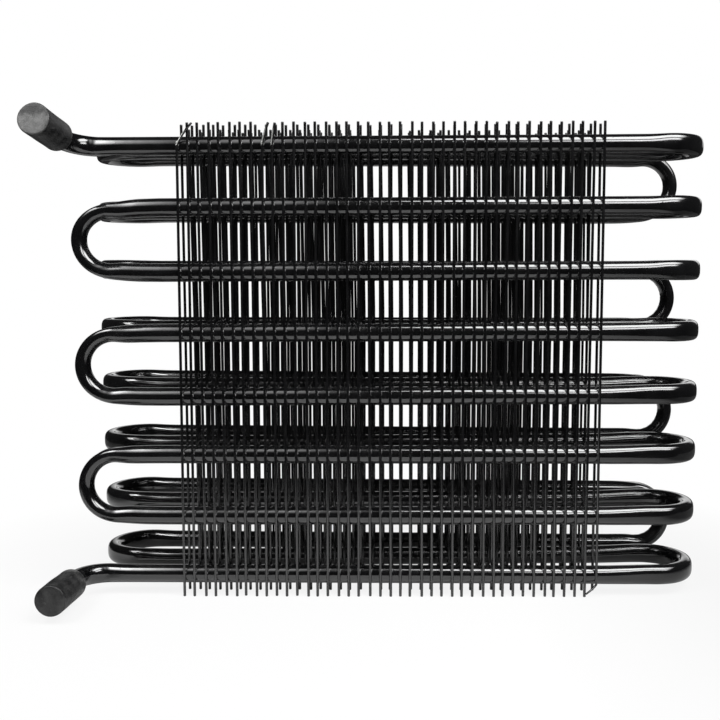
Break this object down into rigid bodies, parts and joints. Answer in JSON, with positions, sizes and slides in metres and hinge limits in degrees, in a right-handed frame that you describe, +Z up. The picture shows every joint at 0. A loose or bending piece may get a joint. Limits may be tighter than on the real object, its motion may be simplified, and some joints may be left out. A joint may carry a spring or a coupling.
{
  "type": "wire condenser",
  "caption": "Black painted wire-on-tube condenser: one serpentine tube with welded wires, folded into three banks, both tube ends turned forward and capped.",
  "frame": {"origin": "on the floor plane under the lower wire tips, at the middle of the whole part's footprint", "axes": "+X to the right along the tube passes, +Y from the front bank to the rear bank (the capped tube ends are at -Y), +Z up along the wires"},
  "size_m": [0.2824, 0.1024, 0.2088],
  "materials": {
    "black_paint_tube": "gloss black paint on steel tube",
    "black_paint_wire": "gloss black paint on steel wire",
    "cap_rubber": "matte dark grey moulded rubber"
  },
  "bodies": {
    "root": {"bent_wire_left": "black_paint_wire", "bent_wire_right": "black_paint_wire", "condenser_tube": "black_paint_tube", "front_bank_front_wires_centre": "black_paint_wire", "front_bank_front_wires_left": "black_paint_wire", "front_bank_front_wires_right": "black_paint_wire", "front_bank_rear_wires_centre": "black_paint_wire", "front_bank_rear_wires_left": "black_paint_wire", "front_bank_rear_wires_right": "black_paint_wire", "leaning_wire_first": "black_paint_wire", "leaning_wire_second": "black_paint_wire", "lower_end_cap": "cap_rubber", "middle_bank_front_wires_centre": "black_paint_wire", "middle_bank_front_wires_left": "black_paint_wire", "middle_bank_front_wires_right": "black_paint_wire", "middle_bank_rear_wires_centre": "black_paint_wire", "middle_bank_rear_wires_left": "black_paint_wire", "middle_bank_rear_wires_right": "black_paint_wire", "rear_bank_front_wires_centre": "black_paint_wire", "rear_bank_front_wires_left": "black_paint_wire", "rear_bank_front_wires_right": "black_paint_wire", "rear_bank_rear_wires_centre": "black_paint_wire", "rear_bank_rear_wires_left": "black_paint_wire", "rear_bank_rear_wires_right": "black_paint_wire", "upper_end_cap": "cap_rubber"}
  },
  "joints": []
}
